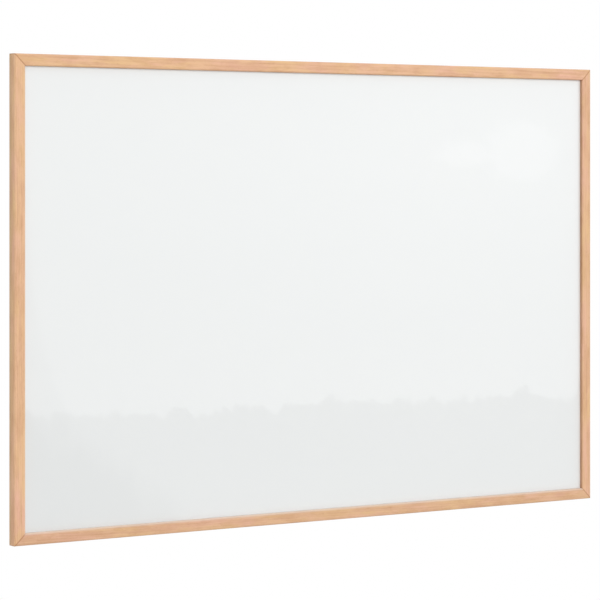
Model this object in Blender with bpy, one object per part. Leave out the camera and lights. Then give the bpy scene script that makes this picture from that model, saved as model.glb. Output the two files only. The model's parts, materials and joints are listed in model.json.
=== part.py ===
"""A magnetic whiteboard in a mitred wooden frame, made to hang on a wall.

Metres, +Z up. +X is to the right of someone who faces the writing surface, and +Y goes back
into the wall. The origin is on the wall's plane, in the middle of the top rail's back land,
halfway between the two hangers.
"""

import math

import bmesh
import bpy
from mathutils import Vector

MM = 0.001
FIT_GAP = 0.3 * MM  # air between two pieces that seat on each other

# The board as a whole
BOARD_WIDTH = 900 * MM
BOARD_HEIGHT = 600 * MM

# The moulding that all four sides of the frame are sawn from
FRAME_FACE = 15 * MM  # its width, seen from the front
LIP_THICKNESS = 5 * MM  # the lip in front of the panel, and so the depth of the writing recess
REBATE_WIDTH = 5 * MM  # how far the lip reaches over the panel
FRONT_ARRIS = 2 * MM  # rounded edges at the front
BACK_ARRIS = 1 * MM  # rounded outer edge at the wall
LAND_ARRIS = 0.5 * MM  # eased inner edge of the back land
ARRIS_STEPS = 5

# The panel, from its front to its back
SHEET_THICKNESS = 0.5 * MM
CORE_THICKNESS = 3 * MM
BACKING_THICKNESS = 2 * MM
PANEL_PLAY = 1 * MM  # room between the panel's edge and the rebate, all round
SHEET_CORNER = 2 * MM
REAR_RECESS = 3.6 * MM  # free depth behind the backing board

# The V-nails that draw each mitre together
V_NAIL_GAUGE = 0.6 * MM
V_NAIL_LEG = 5 * MM
V_NAIL_FLARE = 0.7 * MM  # how far each leg's tip turns outwards
V_NAIL_HEIGHT = 9 * MM
V_NAIL_EDGE = 1 * MM  # height of the sharpened edge
V_NAIL_FIRST = 3.2 * MM  # from the frame's outer faces to the outer nail's fold
V_NAIL_PITCH = 3.6 * MM  # from one fold to the next, along each rail
V_NAILS_PER_CORNER = 2

# The flexible points that hold the panel in
POINT_GAUGE = 0.6 * MM
POINT_WIDTH = 6 * MM
POINT_BITE = 6 * MM  # length driven into the wood
POINT_REACH = 9 * MM  # length that lies over the backing board
POINT_TIP = 3 * MM  # length of the tapered end
POINTS_PER_RAIL = 4
POINTS_PER_STILE = 3

# The sawtooth hangers, let into the top rail's back
HANGER_TAB = 7.2 * MM  # length of the flat end that is screwed down
HANGER_WIDTH = 7.4 * MM
HANGER_GAUGE = 0.8 * MM
HANGER_RISE = 1.4 * MM  # how far the toothed bar is pressed out from its two ends
HANGER_BEND = 2.5 * MM  # length of each sloping stretch
HANGER_CORNER = 1.5 * MM
HANGER_SPACING = 450 * MM  # from one hanger's middle to the other's
HANGER_MARGIN = 2 * MM  # wood left between the recess and the frame's top
HANGER_SETBACK = 0.5 * MM  # from the wall's plane to the proudest steel
TOOTH_PITCH = 2.4 * MM
TOOTH_DEPTH = 1.8 * MM
TEETH = 9

# The screws that hold the hangers
SCREW_RADIUS = 1.1 * MM
SCREW_LENGTH = 7 * MM  # below the head
SCREW_TIP = 2 * MM
SCREW_HEAD_RADIUS = 2.2 * MM
SCREW_HEAD_HEIGHT = 1.1 * MM
CROSS_LENGTH = 2.4 * MM
CROSS_WIDTH = 0.5 * MM
CROSS_DEPTH = 0.6 * MM
ROUND_STEPS = 20

# Cutters run past the surface that they open
OVERCUT = 1 * MM

# Places that follow from the sizes
PANEL_DEPTH = 3 * FIT_GAP + SHEET_THICKNESS + CORE_THICKNESS + BACKING_THICKNESS
FRAME_DEPTH = LIP_THICKNESS + PANEL_DEPTH + REAR_RECESS
BACK_LAND = FRAME_FACE - REBATE_WIDTH
TOP = BACK_LAND / 2
MIDDLE = TOP - BOARD_HEIGHT / 2
BOTTOM = TOP - BOARD_HEIGHT
HANGER_BAR = (TEETH + 1) * TOOTH_PITCH + 2 * HANGER_GAUGE
HANGER_LENGTH = HANGER_BAR + 2 * (HANGER_BEND + HANGER_TAB)
HANGER_STACK = FIT_GAP + HANGER_GAUGE + max(HANGER_RISE, FIT_GAP + SCREW_HEAD_HEIGHT)
HANGER_RECESS = HANGER_STACK + HANGER_SETBACK

# The frame's sides: turn about +Y from the top rail, length, middle of the outer face
SIDES = {
    "top_rail": (0, BOARD_WIDTH, Vector((0, 0, TOP))),
    "right_stile": (90, BOARD_HEIGHT, Vector((BOARD_WIDTH / 2, 0, MIDDLE))),
    "bottom_rail": (180, BOARD_WIDTH, Vector((0, 0, BOTTOM))),
    "left_stile": (-90, BOARD_HEIGHT, Vector((-BOARD_WIDTH / 2, 0, MIDDLE))),
}

# The frame's corners: turn about +Y from the top right one, outer corner, the two sides that meet
CORNERS = {
    "top_right": (0, Vector((BOARD_WIDTH / 2, 0, TOP)), ("top_rail", "right_stile")),
    "bottom_right": (90, Vector((BOARD_WIDTH / 2, 0, BOTTOM)), ("right_stile", "bottom_rail")),
    "bottom_left": (180, Vector((-BOARD_WIDTH / 2, 0, BOTTOM)), ("bottom_rail", "left_stile")),
    "top_left": (-90, Vector((-BOARD_WIDTH / 2, 0, TOP)), ("left_stile", "top_rail")),
}


# Shared tools


def clear_scene():
    for old in list(bpy.data.objects):
        bpy.data.objects.remove(old)


def make_material(name, colour, roughness, metallic=0.0):
    made = bpy.data.materials.new(name)
    made.use_nodes = True
    shader = made.node_tree.nodes["Principled BSDF"]
    shader.inputs["Base Color"].default_value = (*colour, 1.0)
    shader.inputs["Roughness"].default_value = roughness
    shader.inputs["Metallic"].default_value = metallic
    return made


def mesh_from(bm, name):
    """Turns the bmesh into a mesh that is shaded smooth across its rounded edges."""
    bmesh.ops.recalc_face_normals(bm, faces=bm.faces)
    mesh = bpy.data.meshes.new(name)
    bm.to_mesh(mesh)
    bm.free()
    mesh.shade_smooth()
    mesh.set_sharp_from_angle(angle=math.radians(35))
    return mesh


def place(name, mesh, at=(0, 0, 0), turn=0, material=None, parent=None):
    """Puts a mesh in the scene, turned about +Y by so many degrees."""
    made = bpy.data.objects.new(name, mesh)
    bpy.context.scene.collection.objects.link(made)
    made.location = at
    made.rotation_euler.y = math.radians(turn)
    made.parent = parent
    if material:
        made.data.materials.clear()
        made.data.materials.append(material)
    return made


def place_cutter(name, mesh, at=(0, 0, 0), turn=0, parent=None):
    made = place(name, mesh, at, turn, parent=parent)
    made.hide_render = True
    made.display_type = "WIRE"
    return made


def cut(piece, cutter):
    modifier = piece.modifiers.new(cutter.name, "BOOLEAN")
    modifier.operation = "DIFFERENCE"
    modifier.solver = "EXACT"
    modifier.object = cutter


def outline_face(bm, outline):
    """One face through a flat outline of 3-D points."""
    return bm.faces.new([bm.verts.new(p) for p in outline])


def prism(name, outline, front, back):
    """A flat outline of (x, z) points, made solid from y = front to y = back."""
    bm = bmesh.new()
    face = outline_face(bm, [(x, front, z) for x, z in outline])
    grown = bmesh.ops.extrude_face_region(bm, geom=[face])
    moved = [v for v in grown["geom"] if isinstance(v, bmesh.types.BMVert)]
    bmesh.ops.translate(bm, verts=moved, vec=(0, back - front, 0))
    return mesh_from(bm, name)


def loft(name, sections):
    """Skins between sections that have the same number of points, and closes both ends."""
    bm = bmesh.new()
    loops = []
    for section in sections:
        ring = [bm.verts.new(p) for p in section]
        loops.append([bm.edges.new((ring[i - 1], ring[i])) for i in range(len(ring))])
    for near, far in zip(loops, loops[1:]):
        bmesh.ops.bridge_loops(bm, edges=near + far)
    for end in (loops[0], loops[-1]):
        bmesh.ops.edgeloop_fill(bm, edges=end)
    return mesh_from(bm, name)


def rounded_box_outline(width, height, radius, middle=(0, 0), steps=4):
    """The (x, z) outline of a rectangle with round corners."""
    points = []
    for corner in range(4):
        start = math.radians(90 * corner)
        centre_x = middle[0] + (width / 2 - radius) * (1 if corner in (0, 3) else -1)
        centre_z = middle[1] + (height / 2 - radius) * (1 if corner in (0, 1) else -1)
        for step in range(steps + 1):
            angle = start + math.radians(90) * step / steps
            across = centre_x + radius * math.cos(angle)
            up = centre_z + radius * math.sin(angle)
            points.append((across, up))
    return points


def box_outline(left, right, low, high):
    return [(left, low), (right, low), (right, high), (left, high)]


def evenly_spaced(count, length):
    """The middles of so many equal shares of a length that is centred on 0."""
    return [length * ((i + 0.5) / count - 0.5) for i in range(count)]


# The frame


def moulding_profile(bm, at_x):
    """The moulding's section in the plane x = at_x, its outer face on z = 0 and its back on y = 0."""
    lip_back = LIP_THICKNESS - FRAME_DEPTH
    corners = (
        (-FRAME_DEPTH, 0, FRONT_ARRIS),
        (-FRAME_DEPTH, -FRAME_FACE, FRONT_ARRIS),
        (lip_back, -FRAME_FACE, 0),
        (lip_back, -BACK_LAND, 0),
        (0, -BACK_LAND, LAND_ARRIS),
        (0, 0, BACK_ARRIS),
    )
    face = outline_face(bm, [(at_x, y, z) for y, z, _ in corners])
    for vert, (_, _, radius) in zip(list(face.verts), corners):
        if radius:
            bmesh.ops.bevel(
                bm,
                geom=[vert],
                offset=radius,
                offset_type="OFFSET",
                segments=ARRIS_STEPS,
                profile=0.5,
                affect="VERTICES",
                material=-1,
            )
    return list(bm.faces)


def saw_mitre(bm, point, normal):
    """Cuts away what lies beyond a plane, and closes the sawn end."""
    every = list(bm.verts) + list(bm.edges) + list(bm.faces)
    sawn = bmesh.ops.bisect_plane(
        bm, geom=every, plane_co=point, plane_no=normal, clear_outer=True
    )
    edges = [e for e in sawn["geom_cut"] if isinstance(e, bmesh.types.BMEdge)]
    bmesh.ops.edgeloop_fill(bm, edges=edges)


def moulding_length(name, length):
    """A length of moulding along X, mitred at both ends."""
    bm = bmesh.new()
    stock = length / 2 + OVERCUT
    section = moulding_profile(bm, -stock)
    grown = bmesh.ops.extrude_face_region(bm, geom=section)
    moved = [v for v in grown["geom"] if isinstance(v, bmesh.types.BMVert)]
    bmesh.ops.translate(bm, verts=moved, vec=(2 * stock, 0, 0))
    for end in (-1, 1):
        normal = Vector((end, 0, -1)).normalized()
        outer_corner = Vector((end * length / 2, 0, 0))
        saw_mitre(bm, outer_corner - normal * FIT_GAP / 2, normal)
    return mesh_from(bm, name)


def make_frame(wood, parent):
    """The four sides, each sawn from the same moulding."""
    return {
        name: place(name, moulding_length(name, length), at, turn, wood, parent)
        for name, (turn, length, at) in SIDES.items()
    }


# The V-nails


def strip_outline(line, half):
    """The outline of a strip that keeps half its thickness on each side of an open (x, z) line."""
    line = [Vector(p) for p in line]
    one_side, other_side = [], []
    for i, point in enumerate(line):
        before = (point - line[i - 1]).normalized() if i else None
        after = (line[i + 1] - point).normalized() if i + 1 < len(line) else None
        before, after = before or after, after or before
        along = (before + after).normalized()
        across = Vector((-along.y, along.x)) * half / along.dot(before)
        one_side.append(point + across)
        other_side.append(point - across)
    return one_side + other_side[::-1]


def v_nail_section(half, leg, at_y):
    """A V-nail's section: two legs at a right angle from the fold at 0, with tips turned out."""
    straight = leg - V_NAIL_FLARE
    line = (
        (-leg, V_NAIL_FLARE),
        (-straight, 0),
        (0, 0),
        (0, -straight),
        (V_NAIL_FLARE, -leg),
    )
    return [(x, at_y, z) for x, z in strip_outline(line, half)]


def make_v_nails(steel, sides, parent):
    """Two nails in each corner, driven from the back across the mitre."""
    half = V_NAIL_GAUGE / 2
    top = -FIT_GAP
    tip = top - V_NAIL_HEIGHT
    nail = loft(
        "v_nail",
        [
            v_nail_section(half, V_NAIL_LEG, top),
            v_nail_section(half, V_NAIL_LEG, tip + V_NAIL_EDGE),
            v_nail_section(half / 3, V_NAIL_LEG - V_NAIL_FLARE / 2, tip),
        ],
    )
    socket = loft(
        "v_nail_socket",
        [
            v_nail_section(half + FIT_GAP, V_NAIL_LEG + FIT_GAP, OVERCUT),
            v_nail_section(half + FIT_GAP, V_NAIL_LEG + FIT_GAP, tip - FIT_GAP),
        ],
    )
    for corner, (turn, outer, meeting) in CORNERS.items():
        inwards = Vector((math.copysign(1, -outer.x), 0, math.copysign(1, MIDDLE - outer.z)))
        for i in range(V_NAILS_PER_CORNER):
            at = outer + inwards * (V_NAIL_FIRST + i * V_NAIL_PITCH)
            name = f"v_nail_{corner}_{i + 1}"
            place(name, nail, at, turn, steel, parent)
            cutter = place_cutter(f"{name}_socket", socket, at, turn, parent)
            for side in meeting:
                cut(sides[side], cutter)


# The panel


def make_panel(lacquer, fibreboard, hardboard, parent):
    """Three boards behind the frame's lip: lacquered steel, its core and the backing board."""
    width = BOARD_WIDTH - 2 * (BACK_LAND + PANEL_PLAY)
    height = BOARD_HEIGHT - 2 * (BACK_LAND + PANEL_PLAY)
    middle = (0, MIDDLE)
    square = rounded_box_outline(width, height, SHEET_CORNER / 4, middle, steps=1)
    sheet = rounded_box_outline(width, height, SHEET_CORNER, middle)
    front = LIP_THICKNESS - FRAME_DEPTH
    for name, outline, thickness, material in (
        ("writing_sheet", sheet, SHEET_THICKNESS, lacquer),
        ("core_board", square, CORE_THICKNESS, fibreboard),
        ("backing_board", square, BACKING_THICKNESS, hardboard),
    ):
        front += FIT_GAP
        mesh = prism(name, outline, front, front + thickness)
        place(name, mesh, material=material, parent=parent)
        front += thickness
    return front


# The flexible points


def point_outline():
    """A point seen from behind: tapered to the end in the wood, round at the end on the board."""
    half = POINT_WIDTH / 2
    tip = -BACK_LAND + POINT_BITE
    free_centre = -BACK_LAND - POINT_REACH + half
    outline = [(-half, tip - POINT_TIP), (-half / 4, tip), (half / 4, tip), (half, tip - POINT_TIP)]
    steps = 8
    for step in range(steps + 1):
        angle = math.pi * step / steps
        outline.append((half * math.cos(angle), free_centre - half * math.sin(angle)))
    return outline


def make_points(steel, sides, backing_rear, parent):
    """Flexible points round the rebate, driven into the land and lying on the backing board."""
    front = backing_rear + FIT_GAP
    back = front + POINT_GAUGE
    point = prism("point", point_outline(), front, back)
    half = POINT_WIDTH / 2 + FIT_GAP
    slot = box_outline(-half, half, -BACK_LAND - OVERCUT, -BACK_LAND + POINT_BITE + FIT_GAP)
    socket = prism("point_socket", slot, front - FIT_GAP, back + FIT_GAP)
    for side, (turn, length, at) in SIDES.items():
        count = POINTS_PER_RAIL if side.endswith("rail") else POINTS_PER_STILE
        along = Vector((math.cos(math.radians(turn)), 0, -math.sin(math.radians(turn))))
        for i, offset in enumerate(evenly_spaced(count, length)):
            name = f"point_{side.split('_')[0]}_{i + 1}"
            place(name, point, at + along * offset, turn, steel, parent)
            cutter = place_cutter(f"{name}_socket", socket, at + along * offset, turn, parent)
            cut(sides[side], cutter)


# The hangers and their screws


def hanger_outline():
    """A hanger laid flat, seen from behind: round-cornered ends and a toothed lower edge."""
    high = -HANGER_MARGIN - FIT_GAP
    middle = high - HANGER_WIDTH / 2
    outline = rounded_box_outline(HANGER_LENGTH, HANGER_WIDTH, HANGER_CORNER, (0, middle))
    low = high - HANGER_WIDTH
    teeth = []
    for i in range(TEETH + 1):
        root_x = (i - TEETH / 2) * TOOTH_PITCH
        teeth.append((root_x, low + TOOTH_DEPTH))
        if i < TEETH:
            teeth.append((root_x + TOOTH_PITCH / 2, low))
    first = (teeth[0][0] - TOOTH_PITCH / 2, low)
    last = (teeth[-1][0] + TOOTH_PITCH / 2, low)
    # The outline runs anticlockwise, so its lower edge goes from left to right before the last corner.
    before_last_corner = 3 * len(outline) // 4
    return outline[:before_last_corner] + [first] + teeth + [last] + outline[before_last_corner:]


def hanger_mesh():
    """The flat blank, bent along four lines so that its toothed bar stands out from its ends."""
    floor = -HANGER_RECESS + FIT_GAP
    bm = bmesh.new()
    face = outline_face(bm, [(x, floor, z) for x, z in hanger_outline()])
    grown = bmesh.ops.extrude_face_region(bm, geom=[face])
    moved = [v for v in grown["geom"] if isinstance(v, bmesh.types.BMVert)]
    bmesh.ops.translate(bm, verts=moved, vec=(0, HANGER_GAUGE, 0))
    raised = HANGER_BAR / 2
    for bend in (raised, raised + HANGER_BEND):
        for end in (-1, 1):
            every = list(bm.verts) + list(bm.edges) + list(bm.faces)
            bmesh.ops.bisect_plane(bm, geom=every, plane_co=(end * bend, 0, 0), plane_no=(1, 0, 0))
    bar = [v for v in bm.verts if abs(v.co.x) < raised + HANGER_GAUGE / 10]
    bmesh.ops.translate(bm, verts=bar, vec=(0, HANGER_RISE, 0))
    return mesh_from(bm, "hanger")


def turned(name, profile):
    """Turns a profile of (radius, y) points, from one end of the Y axis to the other."""
    bm = bmesh.new()
    verts = [bm.verts.new((radius, y, 0)) for radius, y in profile]
    edges = [bm.edges.new(pair) for pair in zip(verts, verts[1:])]
    bmesh.ops.spin(
        bm,
        geom=verts + edges,
        cent=(0, 0, 0),
        axis=(0, 1, 0),
        angle=math.tau,
        steps=ROUND_STEPS,
        use_merge=True,
    )
    bmesh.ops.remove_doubles(bm, verts=bm.verts, dist=0.001 * MM)
    return mesh_from(bm, name)


def screw_mesh(seat):
    """A pan-head screw whose head starts at y = seat and whose point goes towards -Y."""
    dome_steps = 4
    dome = []
    for step in range(dome_steps + 1):
        angle = math.radians(90) * step / dome_steps
        rim = SCREW_HEAD_RADIUS * math.cos(angle)
        height = SCREW_HEAD_HEIGHT * (0.3 + 0.7 * math.sin(angle))
        dome.append((0 if step == dome_steps else rim, seat + height))
    shank = [
        (0, seat - SCREW_LENGTH),
        (SCREW_RADIUS, seat - SCREW_LENGTH + SCREW_TIP),
        (SCREW_RADIUS, seat),
        (SCREW_HEAD_RADIUS, seat),
    ]
    return turned("hanger_screw", shank + dome)


def cross_mesh(seat):
    """The cross-shaped driver recess, as a cutter."""
    near, far = CROSS_WIDTH / 2, CROSS_LENGTH / 2
    outline = []
    for quarter in range(4):
        turn = math.radians(90 * quarter)
        for x, z in ((far, -near), (far, near), (near, near)):
            outline.append(
                (x * math.cos(turn) - z * math.sin(turn), x * math.sin(turn) + z * math.cos(turn))
            )
    head_top = seat + SCREW_HEAD_HEIGHT
    return prism("cross_recess", outline, head_top - CROSS_DEPTH, head_top + OVERCUT)


def make_hangers(zinc, steel, sides, parent):
    """Two sawtooth hangers, each in its own recess and held by two screws."""
    half = HANGER_LENGTH / 2 + FIT_GAP
    recess = prism(
        "hanger_recess",
        box_outline(-half, half, -BACK_LAND - OVERCUT, -HANGER_MARGIN),
        -HANGER_RECESS,
        OVERCUT,
    )
    blank = hanger_mesh()
    tab_back = -HANGER_RECESS + FIT_GAP + HANGER_GAUGE
    seat = tab_back + FIT_GAP
    screw = screw_mesh(seat)
    cross = cross_mesh(seat)
    hole_radius = SCREW_RADIUS + FIT_GAP
    hole = turned(
        "screw_hole",
        [
            (0, seat - SCREW_LENGTH - FIT_GAP),
            (hole_radius, seat - SCREW_LENGTH - FIT_GAP),
            (hole_radius, tab_back + OVERCUT),
            (0, tab_back + OVERCUT),
        ],
    )
    axis_z = -HANGER_MARGIN - FIT_GAP - HANGER_WIDTH / 2
    for name, sign in (("left", -1), ("right", 1)):
        at = Vector((sign * HANGER_SPACING / 2, 0, TOP))
        hanger = place(f"hanger_{name}", blank.copy(), at, material=zinc, parent=parent)
        cut(sides["top_rail"], place_cutter(f"hanger_{name}_recess", recess, at, parent=parent))
        for end, end_sign in (("outer", sign), ("inner", -sign)):
            axis = at + Vector((end_sign * (HANGER_LENGTH - HANGER_TAB) / 2, 0, axis_z))
            screw_name = f"hanger_screw_{name}_{end}"
            drilled = place_cutter(f"{screw_name}_hole", hole, axis, parent=parent)
            cut(sides["top_rail"], drilled)
            cut(hanger, drilled)
            piece = place(screw_name, screw.copy(), axis, material=steel, parent=parent)
            cut(piece, place_cutter(f"{screw_name}_cross", cross, axis, parent=parent))


def main():
    clear_scene()
    board = bpy.data.objects.new("whiteboard", None)
    bpy.context.scene.collection.objects.link(board)
    wood = make_material("beech", (0.78, 0.48, 0.29), 0.5)
    lacquer = make_material("white_lacquer", (0.88, 0.89, 0.885), 0.12)
    fibreboard = make_material("fibreboard", (0.55, 0.42, 0.28), 0.9)
    hardboard = make_material("hardboard", (0.30, 0.18, 0.10), 0.75)
    steel = make_material("bright_steel", (0.62, 0.62, 0.63), 0.35, 1.0)
    zinc = make_material("zinc_plated_steel", (0.72, 0.72, 0.70), 0.4, 1.0)
    sides = make_frame(wood, board)
    make_v_nails(steel, sides, board)
    backing_rear = make_panel(lacquer, fibreboard, hardboard, board)
    make_points(steel, sides, backing_rear, board)
    make_hangers(zinc, steel, sides, board)


main()
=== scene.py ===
"""A magnetic whiteboard in a mitred beech frame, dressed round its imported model.

The board hangs upright: +X runs to the right of someone who faces it, +Y goes back into the
wall, +Z is up, and the back of the frame lies in the plane y = 0. Lengths are in metres.
"""

import json
import math

import bmesh
import bpy
from bpy.props import (
    FloatProperty,
    FloatVectorProperty,
    IntProperty,
    PointerProperty,
)
from mathutils import Matrix, Vector

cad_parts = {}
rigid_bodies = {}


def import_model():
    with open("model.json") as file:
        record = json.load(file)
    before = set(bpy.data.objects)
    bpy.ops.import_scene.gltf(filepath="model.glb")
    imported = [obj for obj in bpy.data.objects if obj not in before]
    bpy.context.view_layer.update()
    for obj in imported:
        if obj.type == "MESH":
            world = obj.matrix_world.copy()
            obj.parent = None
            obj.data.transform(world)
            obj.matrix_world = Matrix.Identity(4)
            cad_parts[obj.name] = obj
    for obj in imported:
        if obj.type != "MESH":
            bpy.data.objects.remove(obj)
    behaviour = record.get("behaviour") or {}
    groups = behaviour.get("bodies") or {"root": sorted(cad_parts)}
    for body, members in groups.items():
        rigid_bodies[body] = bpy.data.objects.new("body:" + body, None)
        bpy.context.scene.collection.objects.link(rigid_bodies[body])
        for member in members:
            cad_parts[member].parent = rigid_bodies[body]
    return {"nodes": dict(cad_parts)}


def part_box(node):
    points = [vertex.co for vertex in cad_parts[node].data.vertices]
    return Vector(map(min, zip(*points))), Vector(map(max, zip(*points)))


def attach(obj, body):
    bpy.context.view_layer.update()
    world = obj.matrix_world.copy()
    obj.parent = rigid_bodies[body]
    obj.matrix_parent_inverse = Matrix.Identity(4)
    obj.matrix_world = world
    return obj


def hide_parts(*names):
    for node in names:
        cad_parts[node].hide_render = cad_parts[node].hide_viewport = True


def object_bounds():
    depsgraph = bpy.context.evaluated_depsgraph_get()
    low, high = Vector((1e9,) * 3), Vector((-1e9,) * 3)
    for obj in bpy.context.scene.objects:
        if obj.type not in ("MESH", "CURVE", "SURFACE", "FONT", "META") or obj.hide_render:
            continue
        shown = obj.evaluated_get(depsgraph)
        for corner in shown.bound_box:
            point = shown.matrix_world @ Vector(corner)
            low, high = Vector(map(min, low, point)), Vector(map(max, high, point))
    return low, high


bl_info = {
    "name": "Magnetic Whiteboard",
    "version": (1, 0, 0),
    "blender": (4, 5, 0),
    "location": "View3D > Sidebar > Whiteboard",
    "description": "Builds the frame, panel and back fittings of a wall-hung magnetic whiteboard",
    "category": "Object",
}

for startup_object in list(bpy.data.objects):
    bpy.data.objects.remove(startup_object)
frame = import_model()
cad_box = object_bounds()

MM = 0.001
SIDE_NAMES = ("top_rail", "right_stile", "bottom_rail", "left_stile")
CORNER_NAMES = ("top_right", "bottom_right", "bottom_left", "top_left")
# Painted light and shade: each side's wood colour is scaled by its share here, the bottom rail darkest,
# as if lit from above.
PAINTED_SIDE_SHADE = dict(zip(SIDE_NAMES, (1.0, 0.985, 0.93, 0.995)))
# Painted highlight: how strongly each side's inner arris is drawn paler, most on the bottom rail, whose
# arris faces up into the light.
ARRIS_HIGHLIGHT = dict(zip(SIDE_NAMES, (0.0, 0.0, 0.75, 0.2)))
BOARD_LOW, BOARD_HIGH = cad_box
BOARD_WIDTH = BOARD_HIGH.x - BOARD_LOW.x
BOARD_HEIGHT = BOARD_HIGH.z - BOARD_LOW.z
BOARD_DEPTH = BOARD_HIGH.y - BOARD_LOW.y
BOARD_MIDDLE = (BOARD_LOW + BOARD_HIGH) / 2
TOP_RAIL_LOW, TOP_RAIL_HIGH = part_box("top_rail")
FACE_WIDTH = TOP_RAIL_HIGH.z - TOP_RAIL_LOW.z
OVERRUN = 1 * MM


def length_property(name, description, millimetres):
    return FloatProperty(
        name=name, description=description, default=millimetres * MM, min=0, unit="LENGTH", precision=5
    )


def colour_property(name, description, red_green_blue):
    """A colour given as it reads on a screen, from 0 to 255, and kept as linear light."""
    return FloatVectorProperty(
        name=name,
        description=description,
        default=[screen_to_light(level / 255) for level in red_green_blue],
        subtype="COLOR",
        size=3,
        min=0,
        max=1,
    )


def screen_to_light(level):
    return level / 12.92 if level <= 0.04045 else ((level + 0.055) / 1.055) ** 2.4


# Settings


class MouldingSettings(bpy.types.PropertyGroup):
    lip: length_property("Lip", "Thickness of the lip in front of the panel", 5)
    rebate: length_property("Rebate", "How far the lip reaches over the panel", 5)
    front_arris: length_property("Front arris", "Radius of the two front edges", 2)
    back_arris: length_property("Back arris", "Radius of the outer edge at the wall", 1)
    land_arris: length_property("Land arris", "Radius of the inner edge at the wall", 0.5)
    mitre_gap: length_property("Mitre gap", "Width of the joint between two lengths", 0.06)
    mitre_ease: length_property("Mitre ease", "Sanding of the sawn edges at each mitre", 0.18)
    wood: colour_property("Wood", "Colour of the plain wood", (229, 185, 149))
    pink: colour_property("Pink wood", "Colour of the pinker patches", (233, 184, 157))
    honey: colour_property("Honey wood", "Colour of the yellower patches", (230, 189, 142))
    grain: colour_property("Grain", "Colour of the late wood and the pores", (194, 141, 103))
    # Painted highlight: the pale colour drawn along the inner arris of the bottom rail and the left
    # stile.
    arris_highlight: colour_property("Highlight", "Colour of the inner arris where it is wiped most", (232, 216, 202))
    # Painted shade: the greyer, darker colour drawn on the outer faces towards the wall.
    wall_shade: colour_property("Shade", "Colour of the outer edges at the wall", (170, 150, 118))


class PanelSettings(bpy.types.PropertyGroup):
    corner: length_property("Sheet corner", "Radius of the steel sheet's corners", 2)
    board_corner: length_property("Board corner", "Eased corners of the boards behind it", 0.5)
    edge_ease: length_property("Edge ease", "Rounding of the sheet's and the boards' edges", 0.12)
    lacquer: colour_property("Lacquer", "Colour of the writing surface", (232, 234, 234))
    core: colour_property("Core", "Colour of the raw fibreboard", (176, 150, 118))
    backing: colour_property("Backing", "Colour of the hardboard's smooth side", (139, 103, 74))
    backing_fibre: colour_property("Backing fibre", "Colour of its darker fibres", (98, 69, 48))


class FittingSettings(bpy.types.PropertyGroup):
    nail_gauge: length_property("Nail gauge", "Thickness of a V-nail's steel", 0.6)
    nail_leg: length_property("Nail leg", "Length of each leg of a V-nail", 5)
    nail_flare: length_property("Nail flare", "How far each leg's tip turns out", 0.7)
    nail_fold: length_property("Nail fold", "Radius of a V-nail's fold", 0.7)
    nail_first: length_property("First nail", "From the outer faces to the outer nail's fold", 3.2)
    nail_pitch: length_property("Nail pitch", "From one nail's fold to the next", 3.6)
    socket_clearance: length_property("Socket clearance", "Air round steel that is driven in", 0.08)
    point_width: length_property("Point width", "Width of a flexible point", 6)
    point_bite: length_property("Point bite", "Length of a point in the wood", 6)
    point_reach: length_property("Point reach", "Length of a point over the backing", 9)
    point_taper: length_property("Point taper", "Length of a point's tapered end", 3)
    recess_gap: length_property("Recess gap", "Air round a hanger in its recess", 0.3)
    recess_corner: length_property("Recess corner", "Radius that the milling cutter leaves", 1.5)
    edge_ease: length_property("Edge ease", "Rounding of the stamped edges", 0.07)
    teeth: IntProperty(name="Teeth", description="Notches in each hanger's bar", default=9, min=1)
    tooth_pitch: length_property("Tooth pitch", "From one notch to the next", 2.4)
    tooth_depth: length_property("Tooth depth", "Height of a tooth", 1.8)
    tab: length_property("Tab", "Flat end of a hanger, under its screw", 7.2)
    bend: length_property("Bend", "Length of a hanger's sloping stretch", 2.5)
    gauge: length_property("Gauge", "Thickness of a hanger's steel", 0.8)
    hanger_corner: length_property("Hanger corner", "Radius of a hanger's corners", 1.5)
    screw_radius: length_property("Screw radius", "Radius of a screw's shank", 1.1)
    thread_pitch: length_property("Thread pitch", "From one turn of the thread to the next", 0.9)
    thread_depth: length_property("Thread depth", "Height of the thread's ridge", 0.22)
    head_radius: length_property("Head radius", "Radius of a screw's head", 2.2)
    head_height: length_property("Head height", "Height of a screw's head", 1.1)
    steel: colour_property("Steel", "Colour of the bright steel", (196, 197, 199))
    zinc: colour_property("Zinc", "Colour of the zinc plating", (206, 208, 207))


class StageSettings(bpy.types.PropertyGroup):
    lens: FloatProperty(
        name="Lens",
        description="Focal length in millimetres",
        default=160,
        min=1,
        subtype="DISTANCE_CAMERA",
    )
    shift: FloatProperty(
        name="Shift", description="Upright shift, as a share of the picture", default=-0.2018
    )
    turn: FloatProperty(
        name="Turn",
        description="How far the view is turned from square on",
        default=math.radians(33.11),
        subtype="ANGLE",
    )
    place: FloatVectorProperty(
        name="Place",
        description="The camera, from the middle of the frame's front",
        default=(-1.9303, -2.9048, 0.1471),
        subtype="TRANSLATION",
    )
    floor_drop: length_property("Floor drop", "From the frame's lower edge to the floor", 900)
    floor_radius: length_property("Floor radius", "Radius of the round floor", 3000)
    floor: colour_property("Floor", "Colour of the floor", (214, 214, 213))
    ambient: FloatProperty(name="Ambient", description="Light from all round", default=0.52, min=0)
    key: FloatProperty(name="Key", description="Power of the main lamp in watts", default=102, min=0)
    fill: FloatProperty(name="Fill", description="Power of the left lamp in watts", default=29, min=0)


class WhiteboardSettings(bpy.types.PropertyGroup):
    moulding: PointerProperty(type=MouldingSettings)
    panel: PointerProperty(type=PanelSettings)
    fittings: PointerProperty(type=FittingSettings)
    stage: PointerProperty(type=StageSettings)


# Shader nodes


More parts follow.
